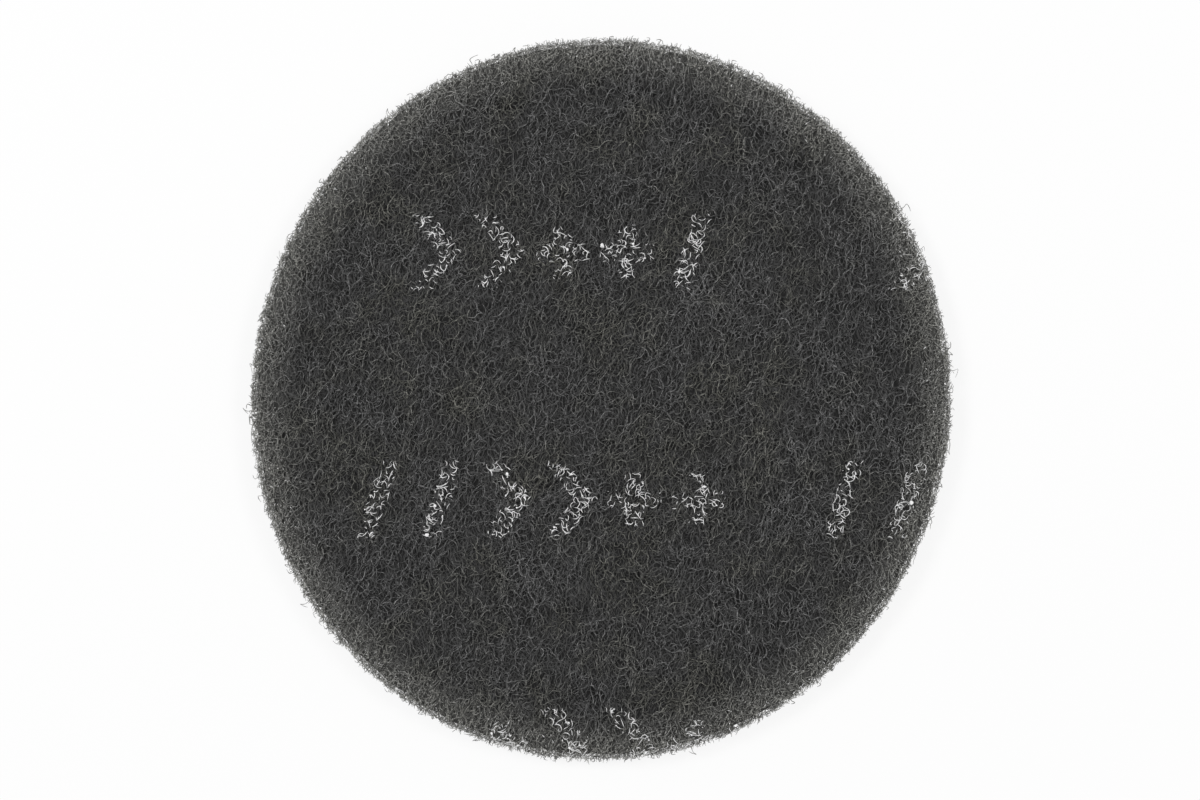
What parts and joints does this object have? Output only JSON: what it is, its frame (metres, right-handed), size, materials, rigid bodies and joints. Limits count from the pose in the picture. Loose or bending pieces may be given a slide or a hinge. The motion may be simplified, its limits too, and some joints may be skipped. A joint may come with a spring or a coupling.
{
  "type": "non-woven abrasive disc",
  "caption": "Flat round pad of matted crimped fibre coated with abrasive, with a soft ragged rim and plain printed marks, for scuffing and finishing.",
  "frame": {"origin": "middle of the underside, which lies on the surface", "axes": "+Z through the thickness to the printed face, +Y to the upper edge of that face, +X to its right"},
  "size_m": [0.1475, 0.152, 0.008],
  "materials": {
    "abrasive_fibre": "matte matted fibre with resin and fine grit",
    "printing_ink": "matte white ink on the outer fibres only, broken up"
  },
  "bodies": {
    "root": {"fibre_disc": "abrasive_fibre"}
  },
  "joints": []
}
